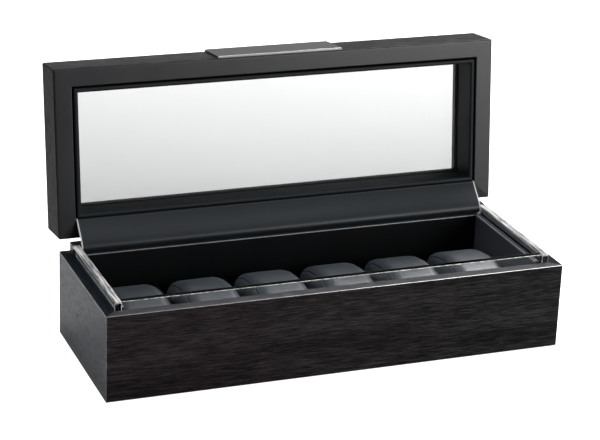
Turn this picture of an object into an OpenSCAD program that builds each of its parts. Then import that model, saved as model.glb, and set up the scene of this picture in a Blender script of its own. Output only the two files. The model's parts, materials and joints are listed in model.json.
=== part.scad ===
// Watch box for six watches: a veneered case with a clear rim, padded watch
// cushions, and a hinged lid with a glass window, drawn with the lid open.
// Millimetres. X runs to the right, Y to the back, Z up. The origin is the
// centre of the underside of the case.

/* [Case] */
// Width of the case
case_w = 340; // [250:1:480]
// Depth of the case, front to back
case_d = 123; // [95:1:180]
// Height of the case up to its rim
base_h = 64; // [48:0.5:100]
// Width of the rim outside the clear strips
rim_w = 8; // [6:0.5:14]
// Bevel along the outer edges
bevel = 0.8; // [0.4:0.1:1.5]
// Thickness of the back wall
back_wall_t = 8; // [7:0.5:12]

/* [Clear rim] */
// Thickness of the clear strips
strip_t = 5; // [3:0.5:8]
// Height of the clear strips above the rim
strip_proud = 6.4; // [4:0.2:12]
// Depth of the rebate that the clear strips stand in
strip_seat = 12; // [6:0.5:20]

/* [Bottom] */
// Thickness of the felt under the case
felt_t = 1; // [0.6:0.1:3]
// Distance of the felt from the outer faces
felt_inset = 4; // [1:0.5:8]
// Thickness of the bottom board
floor_t = 4; // [3:0.5:8]
// Thickness of the padded lining on the bottom board
floor_lining_t = 2; // [1:0.5:4]

/* [Linings and compartments] */
// Thickness of the front and side linings
lining_t = 3.4; // [2:0.1:5]
// Thickness of the back lining, behind which the hinge cover is tucked
back_lining_t = 2.5; // [1.5:0.1:3]
// Thickness of the dividers
divider_t = 2; // [1.2:0.1:4]
// Distance from the rim down to the top of the dividers
divider_drop = 27; // [20:0.5:36]

/* [Cushions] */
// Distance from the rim down to the crown of the cushions
cushion_drop = 13.8; // [10:0.2:18]
// Room for the watch strap in front of and behind each cushion
strap_gap = 6.5; // [5:0.5:12]
// Clearance between a cushion and the dividers beside it
cushion_side_gap = 1.3; // [0.6:0.1:3]
// Clearance under a cushion
cushion_rest_gap = 0.3; // [0.3:0.1:1]
// Radius of the crown across the top, front to back
crown_r = 75; // [60:1:200]
// Radius of the upper and lower corners, seen from the side
cushion_corner_r = 15; // [8:1:17]
// Radius of the upper and lower corners, seen from the front
cushion_end_r = 7; // [3:1:12]

/* [Lid] */
// Height of the lid
lid_h = 32.4; // [26:0.2:50]
// Width of the rails of the lid
rail_w = 13.2; // [11:0.2:20]
// Overhang of the top lip over the edge of the glass
lip_w = 4.3; // [3.5:0.1:8]
// Thickness of the top lip
lip_t = 4.4; // [3:0.2:8]
// Gap between the closed lid and the clear strips
lid_gap = 0.2; // [0.2:0.1:1]
// Angle at which the lid stands open
open_angle = 96.4; // [60:0.1:110]

/* [Window] */
// Thickness of the glass
glass_t = 3; // [2:0.5:4]
// Clearance around the edge of the glass
glass_gap = 0.3; // [0.2:0.1:1]
// Thickness of the foam tape that the glass is bedded on
tape_t = 0.6; // [0.4:0.1:1]
// Thickness of the leather-covered frame inside the lid
inner_frame_t = 3.3; // [2.5:0.1:3.4]
// Width of foam tape that shows beyond the inner frame
tape_margin = 0.4; // [0.2:0.1:0.8]
// Gap between neighbouring lengths of foam tape
tape_joint = 0.2; // [0.1:0.1:1]

/* [Lift plate] */
// Length of the metal lift plate
plate_w = 96; // [60:1:140]
// Thickness of the lift plate
plate_t = 1.6; // [1.4:0.1:3]
// Distance of the lift plate from the edges of the lid
plate_inset = 0.9; // [0.5:0.1:4]
// Bevel around the lift plate
plate_bevel = 0.5; // [0.2:0.1:0.7]
// Distance of the plate screws from the middle
plate_screw_x = 36; // [15:1:45]
// Radius of the plate screws
plate_screw_r = 1.2; // [1:0.1:1.5]
// Radius of the heads of the plate screws
plate_head_r = 2.4; // [2:0.1:3]

/* [Hinges] */
// Distance of each hinge from the middle of the box
hinge_x = 105; // [60:1:120]
// Length of each hinge
hinge_l = 30; // [20:1:40]
// Distance from the hinge axis to the far edge of a leaf
leaf_w = 8; // [7.6:0.1:9]
// Thickness of the hinge leaves
leaf_t = 1.2; // [0.8:0.1:1.6]
// Outer radius of the knuckles
knuckle_r = 2.2; // [1.8:0.1:2.4]
// Radius of the hinge pins
pin_r = 0.9; // [0.6:0.1:1.2]
// Length of the head at each end of a pin
pin_head_l = 0.6; // [0.4:0.1:1]
// Distance of the hinge axis behind the back of the case
axis_back = 1; // [0.6:0.1:2]
// Radial clearance between a pin and its knuckles
pin_gap = 0.05; // [0.02:0.01:0.09]
// Clearance between neighbouring knuckles and around them
knuckle_gap = 0.2; // [0.1:0.05:0.5]
// Radius of the hinge screws
screw_r = 0.8; // [0.6:0.1:1]
// Radius of the heads of the hinge screws
screw_head_r = 1.6; // [1.3:0.1:2]
// Length of the hinge screws
screw_l = 5; // [4:0.5:6]
// Distance of the hinge screws from the middle of a hinge
screw_x = 9; // [6:0.5:11]

/* [Hinge cover] */
// Thickness of the leather strip that covers the hinges
cover_t = 0.8; // [0.5:0.1:1]
// Clearance on each side of the strip where it is tucked in
cover_gap = 0.1; // [0.1:0.05:0.3]
// Length of the strip that is tucked in at each end
cover_tuck = 8; // [5:1:15]
// How far the strip bows forward above the lining
cover_bow = 10.4; // [8:0.2:12]

/* [Hidden] */
$fn = 48;

// How far cutting shapes run past the solids that they cut
over = 1;

// Case: outer half sizes and the inner faces of its walls
half_w = case_w / 2;
half_d = case_d / 2;
wall_t = rim_w + strip_t;
inner_x = half_w - wall_t;
front_wall_y = -half_d + wall_t;
back_wall_y = half_d - back_wall_t;
strip_x = half_w - rim_w;
strip_y = half_d - rim_w;
strip_top = base_h + strip_proud;

// Interior: the faces of the linings
room_x = inner_x - lining_t;
room_front_y = front_wall_y + lining_t;
cover_slot = cover_t + 2 * cover_gap;
room_back_y = back_wall_y - cover_slot - back_lining_t;
room_floor_z = felt_t + floor_t + floor_lining_t;
room_mid_y = (room_front_y + room_back_y) / 2;

// Compartments side by side, one for each cushion in NODES
slots = 6;
pitch = 2 * room_x / slots;
divider_top = base_h - divider_drop;
cushion_w = pitch - divider_t - 2 * cushion_side_gap;
cushion_d = room_back_y - room_front_y - 2 * strap_gap;
cushion_bottom = room_floor_z + cushion_rest_gap;
cushion_top = base_h - cushion_drop;

// Lid, closed: its underside, the inner faces of its rails and of its frame
lid_bottom = strip_top + lid_gap;
lid_top = lid_bottom + lid_h;
lip_edge = rail_w + lip_w;
glass_z = lid_top - lip_t - glass_t;
tape_z = glass_z - tape_t;
groove_w = lip_w - inner_frame_t;

// Hinge axis, which is also where the lid turns
axis_y = half_d + axis_back;
axis_z = lid_bottom + leaf_t / 2;
notch_r = knuckle_r + 1.5 * knuckle_gap;
knuckle_l = (hinge_l - 2 * knuckle_gap) / 3;
leaf_front_y = axis_y - leaf_w;
screw_y = (leaf_front_y + axis_y - notch_r) / 2;
countersink = 1.25 * (screw_head_r - screw_r);

// Plate screws: the middle of the lid front, and their counterbores
plate_z = lid_bottom + plate_inset;
plate_h = lid_h - 2 * plate_inset;
plate_mid_z = lid_bottom + lid_h / 2;
plate_screw_bite = plate_t / 2;
head_t = 1.6;
hole_gap = 0.05;

// ---- Shapes that repeat ----

// A box from its low corner to its high corner
module span(low, high) {
    translate(low) cube(high - low);
}

// A rail's section, drawn with x inwards from the outer face and y up, laid
// along X with its outer face towards -Y
module along_x(length) {
    rotate([90, 0, 90])
        translate([0, 0, -length / 2])
            linear_extrude(length) children();
}

// Plan of a wall or rail along X: mitred ends, with the corner edges bevelled
module plan_x(length, depth) {
    polygon([
        [-length / 2 + bevel, 0], [length / 2 - bevel, 0],
        [length / 2 - bevel / 2, bevel / 2], [length / 2 - depth, depth],
        [-length / 2 + depth, depth], [-length / 2 + bevel / 2, bevel / 2]
    ]);
}

// Section of a rail of the lid: the outer face, the top lip and the inner face
module rail_section() {
    polygon([
        [bevel, 0], [rail_w - bevel, 0], [rail_w, bevel], [rail_w, lid_h - lip_t],
        [lip_edge, lid_h - lip_t], [lip_edge, lid_h], [bevel, lid_h],
        [0, lid_h - bevel], [0, bevel]
    ]);
}

// A mitred rail of the lid along X, with its outer face at y = 0
module lid_rail(length) {
    translate([0, 0, lid_bottom])
        intersection() {
            along_x(length) rail_section();
            linear_extrude(lid_h) plan_x(length, lip_edge);
        }
}

// A mitred strip of the leather-covered frame along X, bevelled at its lower edges
module frame_strip(length) {
    height = tape_z - lid_bottom;
    soft = 0.8;
    translate([0, 0, lid_bottom])
        intersection() {
            along_x(length)
                polygon([
                    [soft, 0], [inner_frame_t - soft, 0], [inner_frame_t, soft],
                    [inner_frame_t, height], [0, height], [0, soft]
                ]);
            linear_extrude(height)
                polygon([
                    [-length / 2, 0], [length / 2, 0],
                    [length / 2 - inner_frame_t, inner_frame_t],
                    [-length / 2 + inner_frame_t, inner_frame_t]
                ]);
        }
}

// Turns what is drawn for the closed lid into the open position
module opened() {
    translate([0, axis_y, axis_z])
        rotate([-open_angle, 0, 0])
            translate([0, -axis_y, -axis_z]) children();
}

// A cylinder along X about the hinge axis, centred on x
module on_axis(x, length, r) {
    translate([x - length / 2, axis_y, axis_z])
        rotate([0, 90, 0]) cylinder(h = length, r = r);
}

// ---- Case ----

// The front wall: rebated along its inner top edge for the clear strip
module base_front_panel() {
    color("#2b2523")
        translate([0, -half_d, felt_t])
            intersection() {
                along_x(case_w) wall_section();
                linear_extrude(base_h) plan_x(case_w, wall_t);
            }
}

// Section of a rebated wall, from its outer face inwards
module wall_section() {
    height = base_h - felt_t;
    polygon([
        [0, bevel], [bevel, 0], [wall_t, 0], [wall_t, height - strip_seat],
        [rim_w, height - strip_seat], [rim_w, height], [bevel, height],
        [0, height - bevel]
    ]);
}

// The back wall: thinner, with the hinge rail on top of it
module base_back_panel() {
    height = base_h - felt_t;
    color("#2b2523")
        translate([0, half_d, felt_t])
            mirror([0, 1, 0])
                intersection() {
                    along_x(case_w)
                        polygon([
                            [0, bevel], [bevel, 0], [back_wall_t, 0], [back_wall_t, height],
                            [bevel, height], [0, height - bevel]
                        ]);
                    linear_extrude(base_h) plan_x(case_w, back_wall_t);
                }
}

// The left wall: mitred to the front wall and to the thinner back wall
module base_left_panel() {
    color("#343639")
        translate([-half_w, 0, felt_t])
            rotate([0, 0, -90])
                intersection() {
                    along_x(case_d) wall_section();
                    linear_extrude(base_h)
                        polygon([
                            [-half_d + bevel, 0], [half_d - bevel, 0],
                            [half_d - bevel / 2, bevel / 2], [half_d - wall_t, wall_t],
                            [-half_d + back_wall_t, wall_t],
                            [-half_d + back_wall_t, back_wall_t],
                            [-half_d + bevel / 2, bevel / 2]
                        ]);
                }
}

module base_right_panel() {
    mirror([1, 0, 0]) base_left_panel();
}

// The bottom board, between the four walls
module base_floor_panel() {
    color("#1c1b1b")
        span([-inner_x, front_wall_y, felt_t], [inner_x, back_wall_y, felt_t + floor_t]);
}

// The felt sheet glued under the case
module base_felt() {
    color("#17181a")
        span([-half_w + felt_inset, -half_d + felt_inset, 0],
             [half_w - felt_inset, half_d - felt_inset, felt_t]);
}

// ---- Clear rim ----

// The front strip, between the two side strips
module clear_front_strip() {
    color([0.85, 0.9, 0.92, 0.4])
        span([-inner_x, -strip_y, base_h - strip_seat], [inner_x, front_wall_y, strip_top]);
}

// A side strip: its front end shows at the corner, its back end meets the back wall
module clear_left_strip() {
    color([0.85, 0.9, 0.92, 0.4])
        span([-strip_x, -strip_y, base_h - strip_seat], [-inner_x, back_wall_y, strip_top]);
}

module clear_right_strip() {
    mirror([1, 0, 0]) clear_left_strip();
}

// The rail on the back wall, as high as the clear strips, that holds the hinges
module rear_hinge_rail() {
    color("#141416")
        difference() {
            span([-strip_x, back_wall_y, base_h], [strip_x, half_d, strip_top]);
            for (side = [-1, 1]) translate([side * hinge_x, 0, 0]) {
                leaf_recess(strip_top - leaf_t, strip_top + over);
                for (s = [-1, 1])
                    translate([s * screw_x, screw_y, strip_top - screw_l - hole_gap])
                        cylinder(h = screw_l, r = screw_r + hole_gap);
            }
        }
}

// Room for one hinge leaf between two heights, and for the knuckles behind it
module leaf_recess(low_z, high_z) {
    leaf_half = hinge_l / 2 + knuckle_gap;
    pin_half = leaf_half + pin_head_l + knuckle_gap;
    span([-leaf_half, leaf_front_y, low_z], [leaf_half, half_d + over, high_z]);
    span([-pin_half, axis_y - notch_r, axis_z - notch_r],
         [pin_half, half_d + over, axis_z + notch_r]);
}

// ---- Linings and dividers ----

// A padded lining along X: its face towards -Y, with a softened top edge
module lining_x(length, thickness) {
    soft = min(0.7, thickness / 2);
    z0 = felt_t + floor_t;
    translate([0, 0, z0])
        along_x(length)
            polygon([
                [0, 0], [thickness, 0], [thickness, base_h - z0],
                [soft, base_h - z0], [0, base_h - z0 - soft]
            ]);
}

module lining_front() {
    color("#1f2225")
        translate([0, room_front_y, 0]) mirror([0, 1, 0]) lining_x(2 * inner_x, lining_t);
}

module lining_back() {
    color("#101113")
        translate([0, room_back_y, 0]) lining_x(2 * inner_x, back_lining_t);
}

// The side linings stand between the front and back linings
module lining_left() {
    color("#30343a")
        translate([-room_x, room_mid_y, 0])
            rotate([0, 0, 90]) lining_x(room_back_y - room_front_y, lining_t);
}

module lining_right() {
    mirror([1, 0, 0]) lining_left();
}

module lining_floor() {
    color("#1b1d20")
        span([-room_x, room_front_y, felt_t + floor_t], [room_x, room_back_y, room_floor_z]);
}

// One divider; they stand on the bottom lining between the front and back linings
module divider(index) {
    x = -room_x + index * pitch;
    color("#1b1d20")
        span([x - divider_t / 2, room_front_y, room_floor_z],
             [x + divider_t / 2, room_back_y, divider_top]);
}

// ---- Hinges ----

// A leaf with screw holes and a row of knuckles; flip = 1 puts the heads of the
// screws under the leaf, as on the lid
module hinge_leaf(x, low_z, knuckles, flip) {
    mid_z = low_z + leaf_t / 2;
    color("#8a8c90")
        translate([x, 0, 0])
            difference() {
                union() {
                    difference() {
                        span([-hinge_l / 2, leaf_front_y, low_z],
                             [hinge_l / 2, axis_y, low_z + leaf_t]);
                        for (k = [-1, 0, 1]) if (len(search(k, knuckles)) == 0)
                            span([k * (knuckle_l + knuckle_gap) - knuckle_l / 2 - knuckle_gap,
                                  axis_y - notch_r, low_z - over],
                                 [k * (knuckle_l + knuckle_gap) + knuckle_l / 2 + knuckle_gap,
                                  axis_y + over, low_z + leaf_t + over]);
                    }
                    for (k = knuckles)
                        on_axis(k * (knuckle_l + knuckle_gap), knuckle_l, knuckle_r);
                }
                on_axis(0, hinge_l + 2 * over, pin_r + pin_gap);
                for (s = [-1, 1]) translate([s * screw_x, screw_y, mid_z]) mirror([0, 0, flip]) {
                    translate([0, 0, -leaf_t]) cylinder(h = 2 * leaf_t, r = screw_r + hole_gap);
                    translate([0, 0, leaf_t / 2 - countersink])
                        cylinder(h = countersink, r1 = screw_r + hole_gap,
                                 r2 = screw_head_r + hole_gap);
                }
            }
}

// The case leaf has the two outer knuckles, the lid leaf the middle one
module base_hinge_leaf(x) {
    hinge_leaf(x, strip_top - leaf_t, [-1, 1], 0);
}

module lid_hinge_leaf(x) {
    opened() hinge_leaf(x, lid_bottom, [0], 1);
}

// A pin through the three knuckles, with a small head at each end
module hinge_pin(x) {
    head_x = (hinge_l + pin_head_l) / 2 + knuckle_gap;
    color("#b4b6b8") {
        on_axis(x, hinge_l + 2 * knuckle_gap, pin_r);
        for (s = [-1, 1]) on_axis(x + s * head_x, pin_head_l, 1.6 * pin_r);
    }
}

// One countersunk screw with its head up at z = 0
module hinge_screw() {
    translate([0, 0, -screw_l]) cylinder(h = screw_l, r = screw_r);
    translate([0, 0, -countersink])
        cylinder(h = countersink, r1 = screw_r, r2 = screw_head_r);
}

module base_hinge_screws() {
    color("#9a9ca0")
        for (side = [-1, 1], s = [-1, 1])
            translate([side * hinge_x + s * screw_x, screw_y, strip_top]) hinge_screw();
}

module lid_hinge_screws() {
    color("#9a9ca0")
        opened()
            for (side = [-1, 1], s = [-1, 1])
                translate([side * hinge_x + s * screw_x, screw_y, lid_bottom])
                    mirror([0, 0, 1]) hinge_screw();
}

// A point of the closed lid, given as [y, z], moved to the open position
function open_point(p) =
    let (y = p[0] - axis_y, z = p[1] - axis_z, c = cos(open_angle), s = sin(open_angle))
    [axis_y + y * c + z * s, axis_z - y * s + z * c];

// Centre line of the hinge cover: up behind the back lining, forward in a bow,
// then back and up into the groove beside the back rail of the lid
function bow(p, t) =
    pow(1 - t, 3) * p[0] + 3 * t * pow(1 - t, 2) * p[1]
    + 3 * t * t * (1 - t) * p[2] + pow(t, 3) * p[3];
cover_y = back_wall_y - cover_slot / 2;
groove_y = half_d - rail_w - groove_w / 2;
cover_mouth = open_point([groove_y, lid_bottom]);
cover_end = open_point([groove_y, lid_bottom + cover_tuck]);
bow_points = [
    [cover_y, base_h + 0.3], [cover_y - cover_bow, strip_top - 0.8],
    [cover_y + cover_t, strip_top + 3.6], cover_mouth
];
cover_steps = 18;
cover_line = concat(
    [[cover_y, base_h - cover_tuck]],
    [for (i = [0 : cover_steps]) bow(bow_points, i / cover_steps)],
    [cover_end]
);

// Unit normal of the centre line at point i, from its two neighbours
function cover_normal(i) =
    let (a = cover_line[max(i - 1, 0)], b = cover_line[min(i + 1, len(cover_line) - 1)],
         d = (b - a) / norm(b - a))
    [-d[1], d[0]];

// The leather strip that hides the hinges from inside the box
module hinge_cover() {
    last = len(cover_line) - 1;
    color("#2b3136")
        along_x(2 * (min(inner_x, half_w - rail_w) - 2 * cover_gap))
            polygon(concat(
                [for (i = [0 : last]) cover_line[i] + cover_t / 2 * cover_normal(i)],
                [for (i = [last : -1 : 0]) cover_line[i] - cover_t / 2 * cover_normal(i)]
            ));
}

// ---- Lid ----

// The front rail, drilled for the screws of the lift plate
module lid_front_rail() {
    color("#2b2523")
        opened()
            difference() {
                translate([0, -half_d, 0]) lid_rail(case_w);
                for (s = [-1, 1])
                    translate([s * plate_screw_x, -half_d, plate_mid_z]) rotate([-90, 0, 0]) {
                        translate([0, 0, -over])
                            cylinder(h = rail_w + 2 * over, r = plate_screw_r + hole_gap);
                        translate([0, 0, rail_w - head_t - hole_gap])
                            cylinder(h = head_t + over, r = plate_head_r + hole_gap);
                    }
            }
}

// The back rail, cut away for the hinge leaves and their screws
module lid_back_rail() {
    color("#2b2523")
        opened()
            difference() {
                translate([0, half_d, 0]) mirror([0, 1, 0]) lid_rail(case_w);
                for (side = [-1, 1]) translate([side * hinge_x, 0, 0]) {
                    leaf_recess(lid_bottom - over, lid_bottom + leaf_t);
                    for (s = [-1, 1])
                        translate([s * screw_x, screw_y, lid_bottom])
                            cylinder(h = screw_l + hole_gap, r = screw_r + hole_gap);
                }
            }
}

module lid_left_rail() {
    color("#343639")
        opened() translate([-half_w, 0, 0]) rotate([0, 0, -90]) lid_rail(case_d);
}

module lid_right_rail() {
    mirror([1, 0, 0]) lid_left_rail();
}

// The leather-covered frame inside the rails, a groove away from them
frame_x = half_w - rail_w - groove_w;
frame_y = half_d - rail_w - groove_w;

module lid_frame_front() {
    color("#23282c") opened() translate([0, -frame_y, 0]) frame_strip(2 * frame_x);
}

module lid_frame_back() {
    color("#23282c")
        opened() translate([0, frame_y, 0]) mirror([0, 1, 0]) frame_strip(2 * frame_x);
}

module lid_frame_left() {
    color("#23282c")
        opened() translate([-frame_x, 0, 0]) rotate([0, 0, -90]) frame_strip(2 * frame_y);
}

module lid_frame_right() {
    mirror([1, 0, 0]) lid_frame_left();
}

// Foam tape on top of the inner frame, in four lengths, under the glass
module glass_tape() {
    edge_x = half_w - rail_w - glass_gap;
    edge_y = half_d - rail_w - glass_gap;
    tape_w = lip_w - glass_gap + tape_margin;
    color("#0b0b0c")
        opened() {
            for (s = [0, 1]) mirror([0, s, 0])
                span([-edge_x, -edge_y, tape_z], [edge_x, -edge_y + tape_w, glass_z]);
            for (s = [0, 1]) mirror([s, 0, 0])
                span([-edge_x, -edge_y + tape_w + tape_joint, tape_z],
                     [-edge_x + tape_w, edge_y - tape_w - tape_joint, glass_z]);
        }
}

module lid_glass() {
    edge_x = half_w - rail_w - glass_gap;
    edge_y = half_d - rail_w - glass_gap;
    color([0.86, 0.92, 0.92, 0.35])
        opened() span([-edge_x, -edge_y, glass_z], [edge_x, edge_y, glass_z + glass_t]);
}

// ---- Lift plate ----

// The metal plate on the front of the lid, with threaded holes in its back
module lift_plate() {
    color("#6e6e6c")
        opened()
            difference() {
                translate([0, -half_d, plate_z])
                    intersection() {
                        along_x(plate_w)
                            polygon([
                                [0, 0], [0, plate_h],
                                [plate_bevel - plate_t, plate_h], [-plate_t, plate_h - plate_bevel],
                                [-plate_t, plate_bevel], [plate_bevel - plate_t, 0]
                            ]);
                        linear_extrude(plate_h)
                            polygon([
                                [-plate_w / 2, 0], [plate_w / 2, 0],
                                [plate_w / 2, plate_bevel - plate_t],
                                [plate_w / 2 - plate_bevel, -plate_t],
                                [-plate_w / 2 + plate_bevel, -plate_t],
                                [-plate_w / 2, plate_bevel - plate_t]
                            ]);
                    }
                for (s = [-1, 1])
                    translate([s * plate_screw_x, -half_d, plate_mid_z]) rotate([90, 0, 0])
                        translate([0, 0, -over])
                            cylinder(h = plate_screw_bite + over, r = plate_screw_r + hole_gap);
            }
}

// The two screws that hold the plate, driven from inside the rail
module lift_plate_screws() {
    color("#9a9ca0")
        opened()
            for (s = [-1, 1])
                translate([s * plate_screw_x, -half_d, plate_mid_z]) rotate([-90, 0, 0]) {
                    translate([0, 0, hole_gap - plate_screw_bite])
                        cylinder(h = rail_w + plate_screw_bite - 2 * hole_gap, r = plate_screw_r);
                    translate([0, 0, rail_w - head_t])
                        cylinder(h = head_t - hole_gap, r = plate_head_r);
                }
}

// ---- Cushions ----

// A rectangle with rounded corners, centred on x and standing on y = 0
module rounded(width, height, r) {
    translate([-width / 2 + r, 0]) square([width - 2 * r, height]);
    translate([-width / 2, r]) square([width, height - 2 * r]);
    for (x = [r - width / 2, width / 2 - r], y = [r, height - r])
        translate([x, y]) circle(r);
}

// One watch cushion: crowned across the top, rounded at every long edge
module cushion(index) {
    height = cushion_top - cushion_bottom;
    end_r = min(cushion_end_r, cushion_w / 3);
    side_r = min(cushion_corner_r, height / 2.6);
    color("#474d51")
        translate([-room_x + (index - 0.5) * pitch, room_mid_y, cushion_bottom])
            intersection() {
                along_x(cushion_w)
                    intersection() {
                        rounded(cushion_d, height, side_r);
                        translate([0, height - crown_r]) circle(crown_r, $fn = 96);
                    }
                rotate([90, 0, 0])
                    translate([0, 0, -cushion_d / 2])
                        linear_extrude(cushion_d) rounded(cushion_w, height, end_r);
            }
}

base_front_panel();
base_back_panel();
base_left_panel();
base_right_panel();
base_floor_panel();
base_felt();
clear_front_strip();
clear_left_strip();
clear_right_strip();
rear_hinge_rail();
lining_front();
lining_back();
lining_left();
lining_right();
lining_floor();
divider(1);  // divider_1
divider(2);  // divider_2
divider(3);  // divider_3
divider(4);  // divider_4
divider(5);  // divider_5
base_hinge_leaf(-hinge_x);  // base_hinge_leaf_left
base_hinge_leaf(hinge_x);  // base_hinge_leaf_right
hinge_pin(-hinge_x);  // hinge_pin_left
hinge_pin(hinge_x);  // hinge_pin_right
base_hinge_screws();
hinge_cover();
lid_front_rail();
lid_back_rail();
lid_left_rail();
lid_right_rail();
lid_frame_front();
lid_frame_back();
lid_frame_left();
lid_frame_right();
glass_tape();
lid_glass();
lid_hinge_leaf(-hinge_x);  // lid_hinge_leaf_left
lid_hinge_leaf(hinge_x);  // lid_hinge_leaf_right
lid_hinge_screws();
lift_plate();
lift_plate_screws();
cushion(1);  // cushion_1
cushion(2);  // cushion_2
cushion(3);  // cushion_3
cushion(4);  // cushion_4
cushion(5);  // cushion_5
cushion(6);  // cushion_6
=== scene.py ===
"""The looks of an open watch box for six watches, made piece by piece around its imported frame.
Everything is in metres: X to the right, Y to the back, Z up, from the middle of the underside."""

import bmesh
import bpy
import json
import math
from mathutils import Matrix, Vector, noise


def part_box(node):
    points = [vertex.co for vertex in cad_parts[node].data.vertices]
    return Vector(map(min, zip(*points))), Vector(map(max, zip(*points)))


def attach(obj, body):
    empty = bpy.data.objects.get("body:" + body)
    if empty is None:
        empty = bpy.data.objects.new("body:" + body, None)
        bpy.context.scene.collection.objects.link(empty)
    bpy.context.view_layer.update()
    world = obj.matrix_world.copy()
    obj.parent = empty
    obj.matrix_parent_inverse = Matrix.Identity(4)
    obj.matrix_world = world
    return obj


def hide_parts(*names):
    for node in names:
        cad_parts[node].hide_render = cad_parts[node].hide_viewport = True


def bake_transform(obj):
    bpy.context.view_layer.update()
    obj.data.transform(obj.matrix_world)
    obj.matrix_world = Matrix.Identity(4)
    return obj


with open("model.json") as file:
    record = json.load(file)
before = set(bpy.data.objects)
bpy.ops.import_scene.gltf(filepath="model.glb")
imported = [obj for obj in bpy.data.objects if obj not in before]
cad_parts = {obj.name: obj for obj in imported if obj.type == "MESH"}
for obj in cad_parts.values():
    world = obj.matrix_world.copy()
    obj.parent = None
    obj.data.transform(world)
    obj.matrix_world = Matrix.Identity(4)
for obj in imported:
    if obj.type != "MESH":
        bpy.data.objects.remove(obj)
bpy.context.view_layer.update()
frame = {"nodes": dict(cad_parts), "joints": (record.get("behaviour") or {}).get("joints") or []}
MM = 0.001

# ---- Camera ----
# A long lens, a little above the box and to its left, so that the front, the left side and the
# inside of the lid are all in view.
bpy.ops.object.select_all(action="DESELECT")
camera_place = (-0.5159, -1.2783, 0.6143)
camera_yaw, camera_pitch, camera_roll = (math.radians(a) for a in (-21.58, 20.72, 2.22))
camera_turn = (
    Matrix.Rotation(camera_yaw, 3, "Z")
    @ Matrix.Rotation(math.pi / 2 - camera_pitch, 3, "X")
    @ Matrix.Rotation(camera_roll, 3, "Z")
)
bpy.ops.object.camera_add(location=camera_place, rotation=camera_turn.to_euler())
camera = bpy.context.object
camera.data.lens = 124.2
camera.data.sensor_width = 36
bpy.context.scene.camera = camera

# ---- Floor and studio light ----
# A plain white floor, evenly white to the camera and plain paper to reflections. Softboxes stand
# overhead, over the right end, in front on the right, on the left and low behind.
bpy.context.scene.view_settings.view_transform = "Standard"


def put(tree, kind, feeds=None, **settings):
    """Adds a node, sets its settings, and sets or links each input that feeds names."""
    node = tree.nodes.new("ShaderNode" + kind)
    for name, value in settings.items():
        setattr(node, name, value)
    for name, value in (feeds or {}).items():
        if isinstance(value, bpy.types.NodeSocket):
            tree.links.new(value, node.inputs[name])
        else:
            node.inputs[name].default_value = value
    return node


def new_material(name, **values):
    """A material with a Principled shader whose plain sockets are set from values."""
    material = bpy.data.materials.new(name)
    material.use_nodes = True
    shader = material.node_tree.nodes["Principled BSDF"]
    for label, value in values.items():
        shader.inputs[label.replace("_", " ")].default_value = value
    return material, material.node_tree, shader


def level_seen(tree, directly, otherwise):
    """A level that the camera sees directly, and another for light, glass and reflections."""
    is_seen = put(tree, "LightPath").outputs["Is Camera Ray"]
    feeds = {"Value": is_seen, "To Min": otherwise, "To Max": directly}
    return put(tree, "MapRange", feeds).outputs[0]


def softbox(place, aim, width, height, power):
    """Adds a rectangular light at place, facing the point aim. It can't be seen through glass."""
    facing = (Vector(aim) - Vector(place)).to_track_quat("-Z", "Y").to_euler()
    bpy.ops.object.light_add(type="AREA", location=place, rotation=facing)
    bpy.context.object.visible_transmission = False
    lamp = bpy.context.object.data
    lamp.shape = "RECTANGLE"
    lamp.size = width
    lamp.size_y = height
    lamp.energy = power


white = (1, 1, 1, 1)
paper, paper_tree, paper_shader = new_material(
    "white paper", Base_Color=(0.42, 0.42, 0.42, 1), Roughness=0.9, Specular_IOR_Level=0.1,
    Emission_Color=white
)
paper_tree.links.new(level_seen(paper_tree, 1.0, 0.0), paper_shader.inputs["Emission Strength"])
bpy.ops.mesh.primitive_plane_add(size=14, location=(0, 0, 0))
floor = bpy.context.object
floor.name = "floor"
floor.data.materials.append(paper)

softbox((0.0, -0.3, 1.8), (0.0, -0.1, 0.0), 1.8, 1.5, 22)
softbox((0.95, 0.5, 1.3), (0.12, 0.0, 0.05), 0.8, 0.7, 52)
softbox((1.38, -2.0, 0.66), (0.1, 0.0, 0.1), 1.1, 1.2, 84)
softbox((-1.7, 0.2, 0.9), (0.0, 0.0, 0.05), 1.0, 1.0, 28)
softbox((0.5, 2.4, 0.5), (0.0, 0.0, 0.1), 2.6, 0.9, 3.2)

studio = bpy.data.worlds.new("studio")
bpy.context.scene.world = studio
studio.use_nodes = True
surround = studio.node_tree.nodes["Background"]
surround.inputs["Color"].default_value = white
studio.node_tree.links.new(level_seen(studio.node_tree, 1.0, 0.12), surround.inputs["Strength"])

# ---- Veneered case walls ----
# Four boards faced with dark open-grained veneer, mitred at the corners and eased along their
# outer edges. The front and side boards are rebated along their inner top edge for the strips.
edge_r = 0.8 * MM
front_low, front_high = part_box("base_front_panel")
back_low, back_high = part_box("base_back_panel")
strip_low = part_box("clear_front_strip")[0]
wall_t = front_high[1] - front_low[1]
back_wall_t = back_high[1] - back_low[1]
rim_w = strip_low[1] - front_low[1]
case_w = 2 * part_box("base_right_panel")[1][0]
case_d = back_high[1] - front_low[1]
case_foot, case_rim, strip_seat = front_low[2], front_high[2], strip_low[2]


def add_block(name, low, high):
    """Adds a block between two corners, as the one selected object."""
    bpy.ops.object.select_all(action="DESELECT")
    middle = [(a + b) / 2 for a, b in zip(low, high)]
    size = [b - a for a, b in zip(low, high)]
    bpy.ops.mesh.primitive_cube_add(size=1, location=middle, scale=size)
    bpy.ops.object.transform_apply(location=True, rotation=True, scale=True)
    piece = bpy.context.object
    piece.name = name
    return piece


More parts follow.
